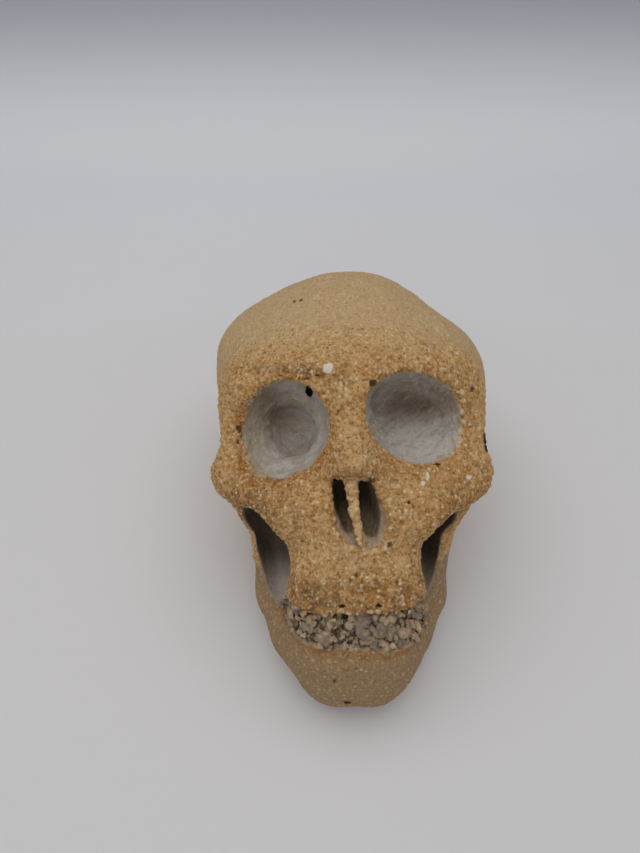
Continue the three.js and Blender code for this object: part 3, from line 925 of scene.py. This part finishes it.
def scraped_colour(tree, where):
    """The washed and streaked grey of the scraped hollows."""
    wash = ramped(tree, noise(tree, where, GREY_WASH, 4.0, 0.65), 0.42, 0.60, 0.25, 1.0)
    grey = mix_colour(tree, wash, SCRAPED_OCHRE, SCRAPED_GREY)
    grey = tinted(tree, grey, "brown", SHADED_BROWN)
    # painted light on the lower walls
    grey = tinted(tree, grey, "pale", PAINTED_LIGHT_GREY)
    grey = tinted(tree, grey, "ochre", NOSE_OCHRE)
    streak = attribute(tree, "stroke")
    grey = mix_colour(tree, ramped(tree, streak, 0.5, 0.2, 0.0, 0.7), grey, STREAK_BROWN, "MULTIPLY")
    grey = mix_colour(tree, ramped(tree, streak, 0.55, 0.85, 0.0, 0.5), grey, STREAK_PALE)
    stained, _ = specks(tree, where, *STAINS)
    return mix_colour(tree, times(tree, stained, 0.35), grey, SCRAPED_OCHRE)


def lump_colour(tree):
    """The torn lumps of the tooth band, with painted shade in the crevices between them."""
    lumps = mix_colour(tree, ramped(tree, attribute(tree, "tint"), 0.1, 0.9), TOOTH_GREY, TOOTH_CREAM)
    between = ramped(tree, attribute(tree, "crevice_shade"), 0.1, 0.75, 0.0, 0.95)
    return mix_colour(tree, between, lumps, DARK)


def clay_colour(tree, where):
    """All the colours of the skin, one laid over the other."""
    speck = noise(tree, where, FINE_SPECKS, 2.0, 0.6)
    uneven = ramped(tree, attribute(tree, "coarse"), 0.0, 1.0, 0.35, 1.0)
    colour = flecked(tree, where, body_colour(tree, where), speck, uneven)
    colour = tinted(tree, colour, "scraped", scraped_colour(tree, where))
    colour = tinted(tree, colour, "septum", GRAIN_CREAM, 0.25)
    colour = tinted(tree, colour, "teeth", lump_colour(tree))
    rough = attribute(tree, "rough")
    colour = mix_colour(tree, ramped(tree, rough, 0.48, 0.12, 0.0, 0.5), colour, HOLLOW_BROWN, "MULTIPLY")
    colour = mix_colour(tree, ramped(tree, rough, 0.55, 0.95, 0.0, 0.25), colour, GRAIN_CREAM)
    colour = tinted(tree, colour, "cream", GRAIN_CREAM, 0.7)
    murk = times(tree, ramped(tree, speck, 0.46, 0.32, 0.0, 1.0), uneven)
    colour = mix_colour(tree, murk, colour, HOLLOW_BROWN, "MULTIPLY")
    for name, coat, strength in LAST_COATS:
        colour = tinted(tree, colour, name, coat, strength)
    return colour


def clay_material():
    material = bpy.data.materials.new("ochre_stoneware")
    material.use_nodes = True
    tree = material.node_tree
    tree.nodes.clear()
    where = node(tree, "ShaderNodeTexCoord").outputs["Object"]
    shader = node(tree, "ShaderNodeBsdfPrincipled")
    tree.links.new(clay_colour(tree, where), shader.inputs["Base Color"])
    shader.inputs["Roughness"].default_value = CLAY_ROUGHNESS
    shader.inputs["Specular IOR Level"].default_value = CLAY_SPECULAR
    bump = node(tree, "ShaderNodeBump")
    bump.inputs["Strength"].default_value = BUMP_STRENGTH
    bump.inputs["Distance"].default_value = BUMP_HEIGHT * MM
    tree.links.new(noise(tree, where, BUMP_PITCH, 4.0, 0.75), bump.inputs["Height"])
    tree.links.new(bump.outputs["Normal"], shader.inputs["Normal"])
    output = node(tree, "ShaderNodeOutputMaterial")
    tree.links.new(shader.outputs["BSDF"], output.inputs["Surface"])
    return material


skin.data.materials.append(clay_material())
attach(skin, "root")
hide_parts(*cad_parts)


# ---------- floor, light and camera, in metres ----------
PAPER = (0.78, 0.765, 0.765)
PAPER_BACK = (0.79, 0.79, 0.82)
# painted shade on the back wall, higher up
PAPER_WALL_SHADE = (0.36, 0.38, 0.42)
PAPER_ROUGHNESS = 0.9
BACK_FROM, BACK_TO = 0.05, 0.16                   # y where the paper turns to its colour at the back
ABOVE_FROM, ABOVE_TO = 0.0, 0.06                  # z where it turns to the painted shade higher up
BEND_STEPS = 12
SKY = (0.95, 0.97, 1.0)
SKY_STRENGTH = 0.47
SENSOR_MM = 36.0
PICTURE_HEIGHT = 853                              # in pixels, as the focal length is
FOCAL_LENGTH = 640.0
CAMERA_PLACE = (-6.25, 12.2, 140.0)               # in the face frame, in millimetres


def paper_material():
    """Pale paper, a little bluer at the back, and darker higher up with painted shade."""
    material = bpy.data.materials.new("pale_paper")
    material.use_nodes = True
    tree = material.node_tree
    place = node(tree, "ShaderNodeSeparateXYZ")
    tree.links.new(node(tree, "ShaderNodeTexCoord").outputs["Object"], place.inputs["Vector"])
    colour = mix_colour(tree, ramped(tree, place.outputs["Y"], BACK_FROM, BACK_TO), PAPER, PAPER_BACK)
    colour = mix_colour(tree, ramped(tree, place.outputs["Z"], ABOVE_FROM, ABOVE_TO), colour, PAPER_WALL_SHADE)
    shader = tree.nodes["Principled BSDF"]
    tree.links.new(colour, shader.inputs["Base Color"])
    shader.inputs["Roughness"].default_value = PAPER_ROUGHNESS
    return material


def make_sweep():
    """A pale floor that curves up into a back wall."""
    half_width, front, bend_start, bend_radius, height = 0.9, -0.8, 0.17, 0.09, 0.7
    profile = [(front, 0.0), (bend_start, 0.0)]
    for step in range(1, BEND_STEPS + 1):
        angle = math.radians(90) * step / BEND_STEPS
        profile.append((bend_start + bend_radius * math.sin(angle), bend_radius * (1 - math.cos(angle))))
    profile.append((bend_start + bend_radius, height))
    points = np.array([(side * half_width, y, z) for side in (-1, 1) for y, z in profile]) / MM
    count = len(profile)
    faces = np.array([(i, count + i, count + i + 1, i + 1) for i in range(count - 1)])
    sweep = make_mesh("floor_sweep", points, faces)
    sweep.data.materials.append(paper_material())


def area_light(name, place, target, size, power, colour=(1, 1, 1)):
    data = bpy.data.lights.new(name, "AREA")
    data.shape = "DISK"
    data.size = size
    data.energy = power
    data.color = colour
    light = bpy.data.objects.new(name, data)
    light.location = place
    light.rotation_euler = (Vector(target) - Vector(place)).to_track_quat("-Z", "Y").to_euler()
    bpy.context.scene.collection.objects.link(light)


def light_room():
    """An even, faintly blue sky, with the colours shown as they are."""
    scene = bpy.context.scene
    scene.world = scene.world or bpy.data.worlds.new("tent")
    scene.world.use_nodes = True
    background = scene.world.node_tree.nodes["Background"]
    background.inputs["Color"].default_value = (*SKY, 1)
    background.inputs["Strength"].default_value = SKY_STRENGTH
    scene.view_settings.view_transform = "Standard"


def make_camera():
    """The view straight along the face frame's -z axis, 50 degrees above the table."""
    data = bpy.data.cameras.new("camera")
    data.sensor_width = SENSOR_MM
    data.lens = SENSOR_MM * FOCAL_LENGTH / PICTURE_HEIGHT
    data.clip_start = 0.01
    data.clip_end = 10
    camera = bpy.data.objects.new("camera", data)
    camera.location = to_world(np.array([CAMERA_PLACE]), OFFSET)[0] * MM
    camera.rotation_euler = (LEAN_BACK, 0, 0)
    bpy.context.scene.collection.objects.link(camera)
    bpy.context.scene.camera = camera


make_sweep()
area_light("key_panel", (-0.035, 0.11, 0.42), (0, 0.03, 0.02),
           size=0.6, power=0.89, colour=(1.0, 0.98, 0.95))
area_light("fill_panel", (-0.10, -0.5, 0.40), (0, 0, 0.02), size=0.7, power=0.2)
light_room()
make_camera()
